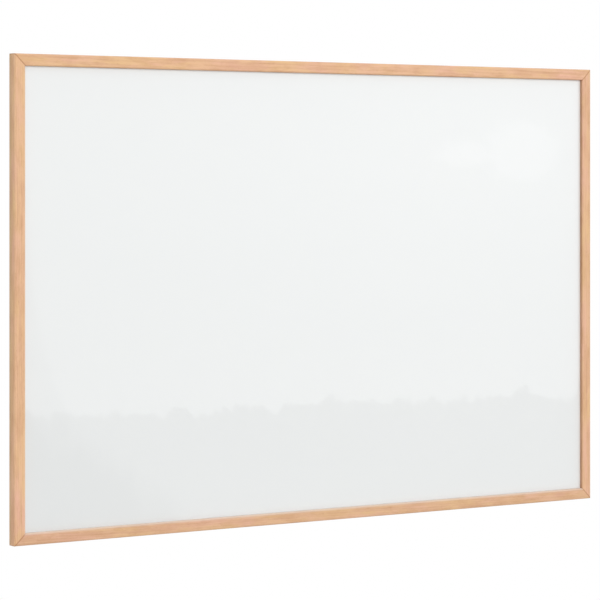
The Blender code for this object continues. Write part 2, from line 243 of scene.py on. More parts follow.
class Signal:
    """An output socket. Sums on it add the Math nodes that they need."""

    def __init__(self, tree, socket):
        self.tree = tree
        self.socket = socket

    def math(self, operation, *others, first=True):
        values = (self, *others) if first else (*others, self)
        return self.tree.node("ShaderNodeMath", {"operation": operation}, dict(enumerate(values)))

    def __add__(self, other):
        return self.math("ADD", other)

    def __sub__(self, other):
        return self.math("SUBTRACT", other)

    def __rsub__(self, other):
        return self.math("SUBTRACT", other, first=False)

    def __mul__(self, other):
        return self.math("MULTIPLY", other)

    def __truediv__(self, other):
        return self.math("DIVIDE", other)

    def __pow__(self, other):
        return self.math("POWER", other)

    __radd__ = __add__
    __rmul__ = __mul__

    def band(self, low, high):
        """0 below low, 1 above high, and a smooth step between."""
        return self.tree.node(
            "ShaderNodeMapRange",
            {"interpolation_type": "SMOOTHSTEP"},
            {"Value": self, "From Min": low, "From Max": high},
        )


class NodeTree:
    """Builds the nodes of one material or world."""

    def __init__(self, owner):
        owner.use_nodes = True
        self.tree = owner.node_tree
        self.tree.nodes.clear()

    def node(self, kind, settings=None, inputs=None, output=0):
        """Adds a node, sets it up, feeds its sockets, and gives the wanted output."""
        made = self.tree.nodes.new(kind)
        for name, value in (settings or {}).items():
            setattr(made, name, value)
        for name, value in (inputs or {}).items():
            socket = made.inputs[name]
            if isinstance(value, Signal):
                self.tree.links.new(value.socket, socket)
            elif isinstance(socket.default_value, float):
                socket.default_value = value
            else:
                wanted = len(socket.default_value)
                socket.default_value = (*value, 1.0)[:wanted]
        return Signal(self, made.outputs[output]) if len(made.outputs) else made

    def parts(self, vector):
        split = self.node("ShaderNodeSeparateXYZ", inputs={0: vector}).socket.node
        return [Signal(self, socket) for socket in split.outputs]

    def joined(self, x, y, z):
        return self.node("ShaderNodeCombineXYZ", inputs={0: x, 1: y, 2: z})

    def stretched(self, vector, *scale):
        settings = {"operation": "MULTIPLY"}
        return self.node("ShaderNodeVectorMath", settings, {0: vector, 1: scale})

    def noise(self, vector, detail=2.0, roughness=0.5, seed=0.0, scale=1.0):
        inputs = {"Vector": vector, "W": seed, "Scale": scale, "Detail": detail, "Roughness": roughness}
        return self.node("ShaderNodeTexNoise", {"noise_dimensions": "4D"}, inputs)

    def blend(self, factor, first, second, mode="MIX"):
        """Mixes two colours."""
        settings = {"data_type": "RGBA", "blend_type": mode, "clamp_factor": True}
        return self.node("ShaderNodeMix", settings, {0: factor, 6: first, 7: second}, output=2)

    def bump(self, height, distance, strength=1.0):
        inputs = {"Height": height, "Distance": distance, "Strength": strength}
        return self.node("ShaderNodeBump", inputs=inputs)

    def place(self):
        """Where a point is on the object."""
        return self.node("ShaderNodeTexCoord", output="Object")

    def surface(self, **inputs):
        """Ends the tree in one Principled shader, with sockets named by keyword."""
        named = {name.replace("_", " ").title().replace("Ior", "IOR"): v for name, v in inputs.items()}
        shader = self.node("ShaderNodeBsdfPrincipled", inputs=named)
        self.node("ShaderNodeOutputMaterial", inputs={"Surface": shader})


def new_material(name):
    made = bpy.data.materials.new(name)
    return made, NodeTree(made)


# Finishes


def wood_material(side, sizes, seed, shade):
    """Beech with its grain along the length: fibres, pores, and year rings round a pith. It also carries
    painted shade on each side, along the lips' inner edges and towards the wall, and a painted highlight
    on some inner arrises.
    """
    made, tree = new_material(f"beech_{side}")
    x, y, z = tree.parts(tree.place())
    is_rail = side.endswith("rail")
    length, across = (x, z) if is_rail else (z, x)
    drift = tree.noise(tree.joined(length * 3.0, across * 8.0, y * 8.0), detail=2, seed=seed)
    leaning = across + length * (0.012 if seed % 2 else -0.009) + (drift - 0.5) * 0.014

    def grain(along, over, detail, roughness, step):
        stretched = tree.joined(length * along, leaning * over, y * over)
        return tree.noise(stretched, detail=detail, roughness=roughness, seed=seed + step)

    broad = grain(16, 48, 3, 0.55, 0.3)
    streak = grain(11, 300, 4, 0.62, 0.7)
    patch = grain(30, 110, 3, 0.6, 0.9)
    fibre = grain(75, 1700, 3, 0.6, 1.1)
    pore = grain(260, 2300, 1, 0.5, 1.9)
    pith_across, pith_deep, ring_width = 0.052, 0.036, 0.0031
    from_pith = ((leaning + pith_across) ** 2 + (y - pith_deep) ** 2) ** 0.5
    ring = (from_pith / ring_width + streak * 0.55).math("FRACT")
    late_wood = ring.band(0.45, 0.92) * (1 - ring.band(0.93, 1.0))

    half_length, half_across = side_reach(side)
    up = z - BOARD_MIDDLE.z
    from_middle = (x if is_rail else up).math("ABSOLUTE")
    from_face = half_across - (up if is_rail else x).math("ABSOLUTE")
    from_mitre = (half_length - from_middle - from_face).math("ABSOLUTE") / math.sqrt(2)
    oiled = 1 - from_mitre.band(0.2 * MM, 1.05 * MM)
    # Painted shade: a thin dark line along each lip's inner edge, like the shadow under the top rail's
    # down-facing arris. It is weaker where that arris gets the painted highlight.
    lip_edge_shade = from_face.band(FACE_WIDTH - 0.5 * MM, FACE_WIDTH - 0.1 * MM) * (1 - ARRIS_HIGHLIGHT[side])
    # Painted highlight: the inner arris is drawn paler where it faces the light.
    arris_highlight = from_face.band(FACE_WIDTH - 3.6 * MM, FACE_WIDTH + 0.4 * MM) * ARRIS_HIGHLIGHT[side]
    # Painted shade: the outer faces darken towards the wall, where less light reaches.
    wall_shade = (1 - from_face.band(0.0, 0.5 * MM)) * y.band(-10 * MM, -2 * MM)

    plain = tree.blend(broad.band(0.36, 0.62), sizes.pink, sizes.honey)
    plain = tree.blend(streak.band(0.34, 0.60), sizes.wood, plain)
    figure = late_wood * 0.16 + streak.band(0.52, 0.36) * 0.17 + fibre.band(0.55, 0.36) * 0.13
    figure = figure + patch.band(0.60, 0.36) * 0.26 - 0.06
    pores = pore.band(0.62, 0.70) * 0.30
    figured = tree.blend(figure + pores + oiled * 0.75 + lip_edge_shade * 0.5, plain, sizes.grain)
    # Painted shade towards the wall.
    figured = tree.blend(wall_shade * 0.35, figured, sizes.wall_shade)
    # Painted highlight on the inner arris.
    figured = tree.blend(arris_highlight, figured, sizes.arris_highlight)
    # Painted shade: the side's wood is multiplied by its painted light-and-shade share.
    shaded = tree.blend(1.0, figured, (shade,) * 3, "MULTIPLY")
    relief = fibre * 0.5 + streak * 0.4 - pores * 1.6 - late_wood * 0.12
    tree.surface(
        base_color=shaded,
        roughness=0.46 + (0.5 - streak) * 0.18 + pores * 0.4,
        specular_ior_level=0.4,
        normal=tree.bump(relief, 0.05 * MM),
    )
    return made


def lacquer_material(sizes):
    """Gloss dry-wipe lacquer: nearly flat, with the long swell and fine orange peel of stoved paint."""
    made, tree = new_material("dry_wipe_lacquer")
    place = tree.place()
    swell = tree.noise(place, detail=1, scale=9, seed=2.0)
    peel = tree.noise(place, detail=2, scale=260, seed=5.0)
    wiped = tree.noise(tree.stretched(place, 3.0, 3.0, 11.0), detail=3, seed=8.0)
    wiped_white = (0.815, 0.83, 0.828)
    tint = tree.blend(wiped.band(0.3, 0.7) * 0.5, sizes.lacquer, wiped_white)
    tree.surface(
        base_color=tint,
        roughness=0.007 + wiped.band(0.35, 0.75) * 0.006,
        ior=1.75,
        normal=tree.bump(swell * 0.9 + peel * 0.005, 0.4 * MM, 0.2),
    )
    return made


def fibreboard_material(sizes):
    """Raw fibreboard: felted pale fibres, with darker ones among them."""
    made, tree = new_material("raw_fibreboard")
    place = tree.place()
    mottle = tree.noise(place, detail=4, scale=140, seed=1.0)
    hairs = tree.noise(tree.stretched(place, 400.0, 2600.0, 1500.0), detail=2, seed=3.0)
    dark = mottle.band(0.3, 0.7) * 0.5 + hairs.band(0.5, 0.7) * 0.3
    dark_fibre = (0.22, 0.15, 0.09)
    shade = tree.blend(dark, sizes.core, dark_fibre)
    tree.surface(base_color=shade, roughness=0.9, normal=tree.bump(mottle + hairs, 0.15 * MM))
    return made


def hardboard_material(sizes):
    """The smooth side of hardboard: short pressed fibres in a brown, slightly waxy sheet."""
    made, tree = new_material("smooth_hardboard")
    place = tree.place()
    cloud = tree.noise(place, detail=3, scale=9, seed=1.0)
    mottle = tree.noise(place, detail=4, roughness=0.6, scale=70, seed=2.0)
    speckle = tree.noise(place, detail=3, roughness=0.7, scale=900, seed=3.0)
    swirl = tree.joined(mottle * 0.02, 0.0, mottle * -0.02)
    bent = tree.node("ShaderNodeVectorMath", {"operation": "ADD"}, {0: place, 1: swirl})
    fibres = tree.noise(tree.stretched(bent, 300.0, 300.0, 1900.0), detail=2, seed=4.0)
    crossing = tree.noise(tree.stretched(bent, 1900.0, 300.0, 300.0), detail=2, seed=6.0)
    dark = cloud.band(0.3, 0.7) * 0.22 + mottle.band(0.4, 0.7) * 0.22 + speckle.band(0.5, 0.7) * 0.4
    dark = dark + fibres.band(0.56, 0.68) * 0.16 + crossing.band(0.58, 0.7) * 0.14
    shade = tree.blend(dark, sizes.backing, sizes.backing_fibre)
    fleck = (fibres * crossing * speckle).band(0.17, 0.24) * 0.4
    shade = tree.blend(fleck, shade, sizes.core)
    tree.surface(
        base_color=shade,
        roughness=0.5 + speckle * 0.2,
        normal=tree.bump(speckle * 0.4 + fibres * 0.3 + crossing * 0.3, 0.02 * MM),
    )
    return made


def steel_material(sizes):
    """Bright cold-rolled steel with fine rolling lines and a few dull spots."""
    made, tree = new_material("bright_steel")
    place = tree.place()
    lines = tree.noise(tree.stretched(place, 2500.0, 2500.0, 350.0), detail=2, seed=1.0)
    dull = tree.noise(place, detail=3, scale=700, seed=2.0)
    spots = dull.band(0.5, 0.75)
    dull_steel = (0.40, 0.40, 0.41)
    tree.surface(
        base_color=tree.blend(spots * 0.5, sizes.steel, dull_steel),
        metallic=1.0,
        roughness=0.26 + lines * 0.16 + spots * 0.15,
        normal=tree.bump(lines, 0.01 * MM),
    )
    return made


def zinc_material(sizes):
    """Zinc plating: pale crystals of slightly different brightness under a thin satin film."""
    made, tree = new_material("zinc_plate")
    place = tree.place()
    crystal = tree.node(
        "ShaderNodeTexVoronoi",
        {"feature": "F1", "distance": "EUCLIDEAN"},
        {"Vector": place, "Scale": 620.0},
        output="Color",
    )
    bright = tree.parts(crystal)[0]
    brushed = tree.noise(tree.stretched(place, 300.0, 2400.0, 2400.0), detail=2, seed=1.0)
    dark_crystal = (0.46, 0.47, 0.49)
    tree.surface(
        base_color=tree.blend(bright * 0.35, sizes.zinc, dark_crystal),
        metallic=1.0,
        roughness=0.30 + bright * 0.10 + brushed * 0.12,
        normal=tree.bump(brushed * 0.6 + bright * 0.4, 0.012 * MM),
    )
    return made


# Mesh tools


def outline_face(bm, outline):
    return bm.faces.new([bm.verts.new(point) for point in outline])


def bevel(bm, geom, radius, segments, affect="EDGES", clamp_overlap=False):
    """Rounds edges, or the corners at vertices."""
    bmesh.ops.bevel(
        bm,
        geom=geom,
        offset=radius,
        offset_type="OFFSET",
        segments=segments,
        profile=0.5,
        affect=affect,
        clamp_overlap=clamp_overlap,
        material=-1,
    )


def round_corners(bm, face, radii, segments):
    """Rounds the corners of a flat face, in the order in which they were drawn."""
    for vert, radius in zip(list(face.verts), radii):
        if radius:
            bevel(bm, [vert], radius, segments, affect="VERTICES")


def drawn_out(bm, faces, vector):
    """Extrudes faces along a vector, and gives the vertices that moved."""
    grown = bmesh.ops.extrude_face_region(bm, geom=faces)
    moved = [item for item in grown["geom"] if isinstance(item, bmesh.types.BMVert)]
    bmesh.ops.translate(bm, verts=moved, vec=vector)
    return moved


def ease_edges(bm, radius, wanted=None, sharper_than=30):
    """Rounds the sharp edges, or those of them that are wanted."""
    limit = math.radians(sharper_than)
    sharp = [e for e in bm.edges if len(e.link_faces) == 2 and e.calc_face_angle(0) > limit]
    if wanted:
        sharp = [e for e in sharp if wanted(e)]
    bevel(bm, sharp, radius, 2, clamp_overlap=True)


def everything(bm):
    return list(bm.verts) + list(bm.edges) + list(bm.faces)


def turn_about_y(degrees):
    return Matrix.Rotation(math.radians(degrees), 4, "Y")


def to_mesh(bm, name):
    """Ends a bmesh in a mesh, without doubled points or slivers, and with its faces outwards."""
    hair = 0.0005 * MM
    bmesh.ops.remove_doubles(bm, verts=bm.verts, dist=hair)
    bmesh.ops.dissolve_degenerate(bm, edges=bm.edges, dist=hair)
    bmesh.ops.dissolve_limit(bm, angle_limit=math.radians(0.2), verts=bm.verts, edges=bm.edges)
    bmesh.ops.recalc_face_normals(bm, faces=bm.faces)
    mesh = bpy.data.meshes.new(name)
    bm.to_mesh(mesh)
    bm.free()
    return mesh


def cutter(bm, place):
    """A temporary object that is cut out of a piece."""
    made = bpy.data.objects.new("cutter", to_mesh(bm, "cutter"))
    made.data.transform(place)
    bpy.context.scene.collection.objects.link(made)
    return made


def carve(piece, cutters):
    """Cuts the cutters out of a piece for good, and deletes them."""
    for tool in cutters:
        boolean = piece.modifiers.new("cut", "BOOLEAN")
        boolean.operation = "DIFFERENCE"
        boolean.solver = "EXACT"
        boolean.object = tool
    bpy.context.view_layer.update()
    bm = bmesh.new()
    bm.from_object(piece, bpy.context.evaluated_depsgraph_get())
    piece.modifiers.clear()
    piece.data = to_mesh(bm, piece.name)
    for tool in cutters:
        bpy.data.objects.remove(tool)


def add_piece(name, mesh, material, node, cutters=()):
    """Finishes one piece and lets it stand for its CAD node."""
    made = bpy.data.objects.new(name, mesh)
    bpy.context.scene.collection.objects.link(made)
    if cutters:
        carve(made, cutters)
    made.data.materials.clear()
    made.data.materials.append(material)
    made.data.shade_smooth()
    made.data.set_sharp_from_angle(angle=math.radians(40))
    normals = made.modifiers.new("even_normals", "WEIGHTED_NORMAL")
    normals.keep_sharp = True
    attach(made, "root")
    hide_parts(node)
    return made


# Where things are


def side_reach(side):
    """Half the length of a side, and how far its outer face is from the board's middle."""
    half_width, half_height = BOARD_WIDTH / 2, BOARD_HEIGHT / 2
    return (half_width, half_height) if side.endswith("rail") else (half_height, half_width)


def side_frame(side):
    """The turn and place that take a length along the X axis to its side of the frame."""
    turn = turn_about_y(90 * SIDE_NAMES.index(side))
    _, half_across = side_reach(side)
    outwards = turn @ Vector((0, 0, half_across))
    return Matrix.Translation(Vector((BOARD_MIDDLE.x, 0, BOARD_MIDDLE.z)) + outwards) @ turn


def corner_place(corner, inset):
    """The turn and place of a fitting at a corner, this far in from both outer faces."""
    turn = turn_about_y(90 * CORNER_NAMES.index(corner))
    sign_x = 1 if corner.endswith("right") else -1
    sign_z = 1 if corner.startswith("top") else -1
    x = sign_x * (BOARD_WIDTH / 2 - inset)
    z = BOARD_MIDDLE.z + sign_z * (BOARD_HEIGHT / 2 - inset)
    return Matrix.Translation((x, 0, z)) @ turn


def nodes_named(start):
    return sorted(name for name in frame["nodes"] if name.startswith(start))


def points_of(side):
    return nodes_named(f"point_{side.split('_')[0]}_")


def hanger_plates():
    """The hangers' own nodes, without their screws."""
    return sorted(set(nodes_named("hanger_")) - set(nodes_named("hanger_screw")))


def back_land(moulding):
    """Width of the frame's back, from its outer face to the rebate."""
    return FACE_WIDTH - moulding.rebate


def corner_sides(corner):
    """The two sides that meet at a corner."""
    i = CORNER_NAMES.index(corner)
    return SIDE_NAMES[i], SIDE_NAMES[(i + 1) % len(SIDE_NAMES)]


def side_place(side, node):
    """The turn and place of a fitting on its side of the frame, as far along it as its CAD node."""
    frame_of_side = side_frame(side)
    low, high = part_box(node)
    along = (frame_of_side.inverted() @ ((low + high) / 2)).x
    return frame_of_side @ Matrix.Translation((along, 0, 0))


def shared_material(name, finish, sizes):
    """The material of this name, which the first piece that needs it makes."""
    return bpy.data.materials.get(name) or finish(sizes)


# The frame


def moulding_bmesh(length, sizes):
    """A length of moulding along X, mitred at both ends, with its outer back edge on the X axis."""
    land = back_land(sizes)
    lip_back = sizes.lip - BOARD_DEPTH
    sawn_off = 5 * MM
    stock = length / 2 + sawn_off
    corners = (
        (-BOARD_DEPTH, 0, sizes.front_arris),
        (-BOARD_DEPTH, -FACE_WIDTH, sizes.front_arris),
        (lip_back, -FACE_WIDTH, 0),
        (lip_back, -land, 0),
        (0, -land, sizes.land_arris),
        (0, 0, sizes.back_arris),
    )
    bm = bmesh.new()
    section = outline_face(bm, [(-stock, y, z) for y, z, _ in corners])
    round_corners(bm, section, [radius for _, _, radius in corners], segments=8)
    drawn_out(bm, bm.faces[:], (2 * stock, 0, 0))
    for end in (-1, 1):
        normal = Vector((end, 0, -1)).normalized()
        saw = Vector((end * length / 2, 0, 0)) - normal * sizes.mitre_gap / 2
        sawn = bmesh.ops.bisect_plane(
            bm, geom=everything(bm), plane_co=saw, plane_no=normal, clear_outer=True
        )
        rim = [item for item in sawn["geom_cut"] if isinstance(item, bmesh.types.BMEdge)]
        bmesh.ops.edgeloop_fill(bm, edges=rim)
        ease_edges(bm, sizes.mitre_ease, lambda e, saw=saw, normal=normal: lies_on(e, saw, normal))
    return bm


def lies_on(edge, point, normal):
    """Whether an edge lies in the plane through a point."""
    return all(abs((v.co - point).dot(normal)) < 0.01 * MM for v in edge.verts)


def box_bmesh(low, high):
    """A plain block between two corners."""
    bm = bmesh.new()
    size = [b - a for a, b in zip(low, high)]
    middle = [(a + b) / 2 for a, b in zip(low, high)]
    bmesh.ops.create_cube(bm, size=1, matrix=Matrix.Translation(middle) @ Matrix.Diagonal((*size, 1)))
    return bm


def fitting_cutters(side, board):
    """Cutters for all that is sunk into one side: V-nails, points, hangers and their screws."""
    sizes = board.fittings
    land = back_land(board.moulding)
    clearance = sizes.socket_clearance
    tools = []
    for corner in CORNER_NAMES:
        for node in nodes_named(f"v_nail_{corner}"):
            if side in corner_sides(corner):
                low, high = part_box(node)
                nail = v_nail_bmesh(sizes, high.y - low.y + 2 * OVERRUN, clearance)
                bmesh.ops.translate(nail, verts=nail.verts, vec=(0, OVERRUN, 0))
                tools.append(cutter(nail, nail_place(node, corner, sizes)))
    for node in points_of(side):
        low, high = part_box(node)
        half = sizes.point_width / 2 + clearance
        slot_low = (-half, low.y - clearance, -land - OVERRUN)
        slot_high = (half, high.y + clearance, -land + sizes.point_bite + clearance)
        tools.append(cutter(box_bmesh(slot_low, slot_high), side_place(side, node)))
    if side == "top_rail":
        tools += hanger_cutters(land, sizes)
    return tools


def hanger_cutters(land, sizes):
    """Cutters for the two milled recesses, and for a pilot hole for each screw."""
    under_hanger, under_tip = 0.02 * MM, 0.2 * MM
    tools = []
    for node in hanger_plates():
        low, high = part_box(node)
        recess_low = (low.x - sizes.recess_gap, low.y - under_hanger, BOARD_HIGH.z - land - OVERRUN)
        recess_high = (high.x + sizes.recess_gap, OVERRUN, high.z + sizes.recess_gap)
        bm = box_bmesh(recess_low, recess_high)
        deep = [e for e in bm.edges if abs(e.verts[0].co.y - e.verts[1].co.y) > MM]
        bevel(bm, [e for e in deep if e.verts[0].co.z > high.z], sizes.recess_corner, 6)
        tools.append(cutter(bm, Matrix()))
    for node in nodes_named("hanger_screw"):
        axis, tip, top = screw_axis(node)
        radius = sizes.screw_radius + sizes.thread_depth + sizes.socket_clearance
        tools.append(bore_cutter(axis, radius, tip - under_tip, top, 24))
    return tools


# Fittings: V-nails, points, screws and hangers


def strip_outline(line, half):
    """The outline of a strip that keeps half its thickness on each side of an open (x, z) line."""
    line = [Vector(point) for point in line]
    one_side, other_side = [], []
    for i, point in enumerate(line):
        before = (point - line[i - 1]).normalized() if i else None
        after = (line[i + 1] - point).normalized() if i + 1 < len(line) else None
        before, after = before or after, after or before
        along = (before + after).normalized()
        out = Vector((-along.y, along.x)) * half / along.dot(before)
        one_side.append(point + out)
        other_side.append(point - out)
    return one_side + other_side[::-1]


def v_nail_bmesh(sizes, height, grow=0.0):
    """Two legs at a right angle from a rounded fold on the Y axis, with their tips turned out."""
    leg, flare = sizes.nail_leg + grow, sizes.nail_flare
    straight = sizes.nail_leg - flare
    half = sizes.nail_gauge / 2 + grow
    line = ((-leg, flare), (-straight, 0), (0, 0), (0, -straight), (flare, -leg))
    outline = strip_outline(line, half)
    radii = [0, half, sizes.nail_fold + half, half, 0, 0, half, sizes.nail_fold - half, half, 0]
    bm = bmesh.new()
    face = outline_face(bm, [(x, 0, z) for x, z in outline])
    round_corners(bm, face, radii, segments=6)
    drawn_out(bm, bm.faces[:], (0, -height, 0))
    return bm


def nail_place(node, corner, sizes):
    step = int(node.rsplit("_", 1)[1]) - 1
    return corner_place(corner, sizes.nail_first + step * sizes.nail_pitch)


def point_bmesh(node, sizes, land):
    """A flexible point: tapered where it bites into the wood, round at its free end."""
    low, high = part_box(node)
    half = sizes.point_width / 2
    tip_half, shoulder, round_end = half / 4, 0.5 * MM, half * 0.98
    tip = -land + sizes.point_bite
    free = -land - sizes.point_reach
    outline = (
        (-half, tip - sizes.point_taper),
        (-tip_half, tip),
        (tip_half, tip),
        (half, tip - sizes.point_taper),
        (half, free),
        (-half, free),
    )
    bm = bmesh.new()
    face = outline_face(bm, [(x, low.y, z) for x, z in outline])
    round_corners(bm, face, (shoulder, 0, 0, shoulder, round_end, round_end), segments=12)
    drawn_out(bm, bm.faces[:], (0, high.y - low.y, 0))
    ease_edges(bm, sizes.edge_ease)
    return bm


def turned_bmesh(profile, steps):
    """Turns a profile of (radius, y) points about the Y axis."""
    bm = bmesh.new()
    verts = [bm.verts.new((radius, y, 0)) for radius, y in profile]
    edges = [bm.edges.new(pair) for pair in zip(verts, verts[1:])]
    bmesh.ops.spin(
        bm,
        geom=verts + edges,
        cent=(0, 0, 0),
        axis=(0, 1, 0),
        angle=math.tau,
        steps=steps,
        use_merge=True,
    )
    return bm


def bore_cutter(axis, radius, start, end, steps):
    """A round cutter along Y, from start to end."""
    profile = ((0, start), (radius, start), (radius, end), (0, end))
    return cutter(turned_bmesh(profile, steps), Matrix.Translation(axis))


def screw_axis(node):
    """A screw's axis in the plane y = 0, its tip and the top of its head."""
    low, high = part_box(node)
    middle = (low + high) / 2
    return Vector((middle.x, 0, middle.z)), low.y, high.y


def screw_bmesh(node, sizes):
    """A pan-head screw: domed head, shank, gimlet point and a thread wound round them."""
    _, tip, top = screw_axis(node)
    seat = top - sizes.head_height
    gimlet, taper, rim_ease = 0.9 * MM, 2 * MM, 0.15 * MM
    rim, dome_steps = 0.3, 10
    profile = [
        (0, tip),
        (sizes.screw_radius * 0.55, tip + gimlet),
        (sizes.screw_radius, tip + taper),
        (sizes.screw_radius, seat),
        (sizes.head_radius - rim_ease, seat),
    ]
    for step in range(dome_steps + 1):
        angle = math.radians(90) * step / dome_steps
        radius = sizes.head_radius * math.cos(angle) if step < dome_steps else 0
        profile.append((radius, seat + sizes.head_height * (rim + (1 - rim) * math.sin(angle))))
    bm = turned_bmesh(profile, 48)
    add_thread(bm, tip, seat, sizes)
    return bm


def add_thread(bm, tip, seat, sizes):
    """A ridge wound round the shank, which starts at the point and runs out under the head."""
    bare, half_ridge, steps = 3 * MM, 0.2 * MM, 20
    turns = int((seat - tip - bare) / sizes.thread_pitch)
    inner, outer = sizes.screw_radius * 0.9, sizes.screw_radius + sizes.thread_depth
    start = tip + 1.6 * MM
    ridge = ((inner, start - half_ridge, 0), (outer, start, 0), (inner, start + half_ridge, 0))
    section = outline_face(bm, ridge)
    bmesh.ops.spin(
        bm,
        geom=[section],
        cent=(0, 0, 0),
        axis=(0, 1, 0),
        dvec=(0, sizes.thread_pitch / steps, 0),
        angle=math.tau * turns,
        steps=steps * turns,
    )


def cross_cutter(node, sizes):
    """The cross-shaped driver recess, narrower at its floor."""
    axis, _, top = screw_axis(node)
    near, far = 0.24 * MM, sizes.head_radius * 0.56
    above, depth, floor_share = 0.2 * MM, 0.95 * MM, 0.45
    outline = []
    for quarter in range(4):
        turn = Matrix.Rotation(math.radians(90 * quarter), 2)
        outline += [turn @ Vector(corner) for corner in ((far, -near), (far, near), (near, near))]
    bm = bmesh.new()
    outline_face(bm, [(x, top + above, z) for x, z in outline])
    floor = drawn_out(bm, bm.faces[:], (0, -depth, 0))
    bmesh.ops.scale(bm, verts=floor, vec=(floor_share, 1, floor_share))
    return cutter(bm, Matrix.Translation(axis))


def hanger_bmesh(node, sizes):
    """A sawtooth hanger: a stamped blank whose toothed bar is pressed out between two flat ends."""
    low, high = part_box(node)
    length, width = high.x - low.x, high.z - low.z
    rise = (high.y - low.y) - sizes.gauge
    half = length / 2
    teeth_end = (sizes.teeth + 1) / 2 * sizes.tooth_pitch
    root_radius, tip_radius = 0.22 * MM, 0.18 * MM
    outline = [(-half, -width), (-half, 0), (half, 0), (half, -width), (teeth_end, -width)]
    radii = [sizes.hanger_corner] * 4 + [tip_radius]
    for i in range(sizes.teeth, -1, -1):
        root = (i - sizes.teeth / 2) * sizes.tooth_pitch
        outline += [(root, sizes.tooth_depth - width), (root - sizes.tooth_pitch / 2, -width)]
        radii += [root_radius, tip_radius]
    bm = bmesh.new()
    face = outline_face(bm, [(x, 0, z) for x, z in outline])
    round_corners(bm, face, radii, segments=5)
    bar = half - sizes.tab - sizes.bend
    bend_steps = 12
    for step in range(bend_steps + 1):
        for sign in (-1, 1):
            cut = Vector((sign * (bar + sizes.bend * step / bend_steps), 0, 0))
            bmesh.ops.bisect_plane(bm, geom=everything(bm), plane_co=cut, plane_no=(1, 0, 0))
    drawn_out(bm, bm.faces[:], (0, sizes.gauge, 0))
    ease_edges(bm, sizes.edge_ease)
    for vert in bm.verts:
        down = min(max((abs(vert.co.x) - bar) / sizes.bend, 0), 1)
        vert.co.y += rise * (1 - down * down * (3 - 2 * down))
    place = Matrix.Translation(((low.x + high.x) / 2, low.y, high.z))
    bmesh.ops.transform(bm, matrix=place, verts=bm.verts)
    return bm


# The panel


def panel_bmesh(node, corner, ease):
    """A board of the node's size, with round corners and eased edges."""
    low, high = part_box(node)
    bm = bmesh.new()
    outline = ((low.x, low.z), (high.x, low.z), (high.x, high.z), (low.x, high.z))
    face = outline_face(bm, [(x, low.y, z) for x, z in outline])
    round_corners(bm, face, [corner] * 4, segments=8)
    drawn_out(bm, bm.faces[:], (0, high.y - low.y, 0))
    ease_edges(bm, ease)
    return bm


# The stage


def lamp(name, place, size, power, colour=(1, 1, 1)):
    """A square soft lamp that faces the board's middle."""
    made = bpy.data.lights.new(name, "AREA")
    made.shape = "SQUARE"
    made.size = size
    made.energy = power
    made.color = colour
    shown = bpy.data.objects.new(name, made)
    bpy.context.scene.collection.objects.link(shown)
    shown.location = BOARD_MIDDLE + Vector(place)
    shown.rotation_euler = (-Vector(place)).to_track_quat("-Z", "Y").to_euler()
    shown.visible_camera = False
    return shown


def floor_material(sizes):
    """Pale and plain round the board, and as white as the background towards its edge."""
    made, tree = new_material("floor")
    x, y, _ = tree.parts(tree.place())
    far = (x ** 2 + y ** 2) ** 0.5
    fade = far.band(sizes.floor_radius * 0.3, sizes.floor_radius * 0.9)
    seen = tree.node("ShaderNodeLightPath", output="Is Camera Ray")
    pale = tree.node("ShaderNodeBsdfDiffuse", inputs={"Color": sizes.floor})
    white = tree.node("ShaderNodeEmission", inputs={"Color": (1, 1, 1)})
    mixed = tree.node("ShaderNodeMixShader", inputs={0: fade * seen, 1: pale, 2: white})
    tree.node("ShaderNodeOutputMaterial", inputs={"Surface": mixed})
    return made


def make_floor(sizes):
    bm = bmesh.new()
    bmesh.ops.create_circle(bm, cap_ends=True, segments=128, radius=sizes.floor_radius)
    below = BOARD_LOW.z - sizes.floor_drop
    bmesh.ops.translate(bm, verts=bm.verts, vec=(0, 0, below))
    made = bpy.data.objects.new("floor", to_mesh(bm, "floor"))
    made.data.materials.append(floor_material(sizes))
    bpy.context.scene.collection.objects.link(made)


def soft_spot(azimuth, height, centre, half, ragged):
    """1 inside an oval of the surroundings and 0 outside it, with a soft ragged edge."""
    across = (azimuth - math.radians(centre[0])) / math.radians(half[0])
    up = (height - math.radians(centre[1])) / math.radians(half[1])
    return ((across ** 2 + up ** 2) ** 0.5 + ragged).band(1.04, 0.96)


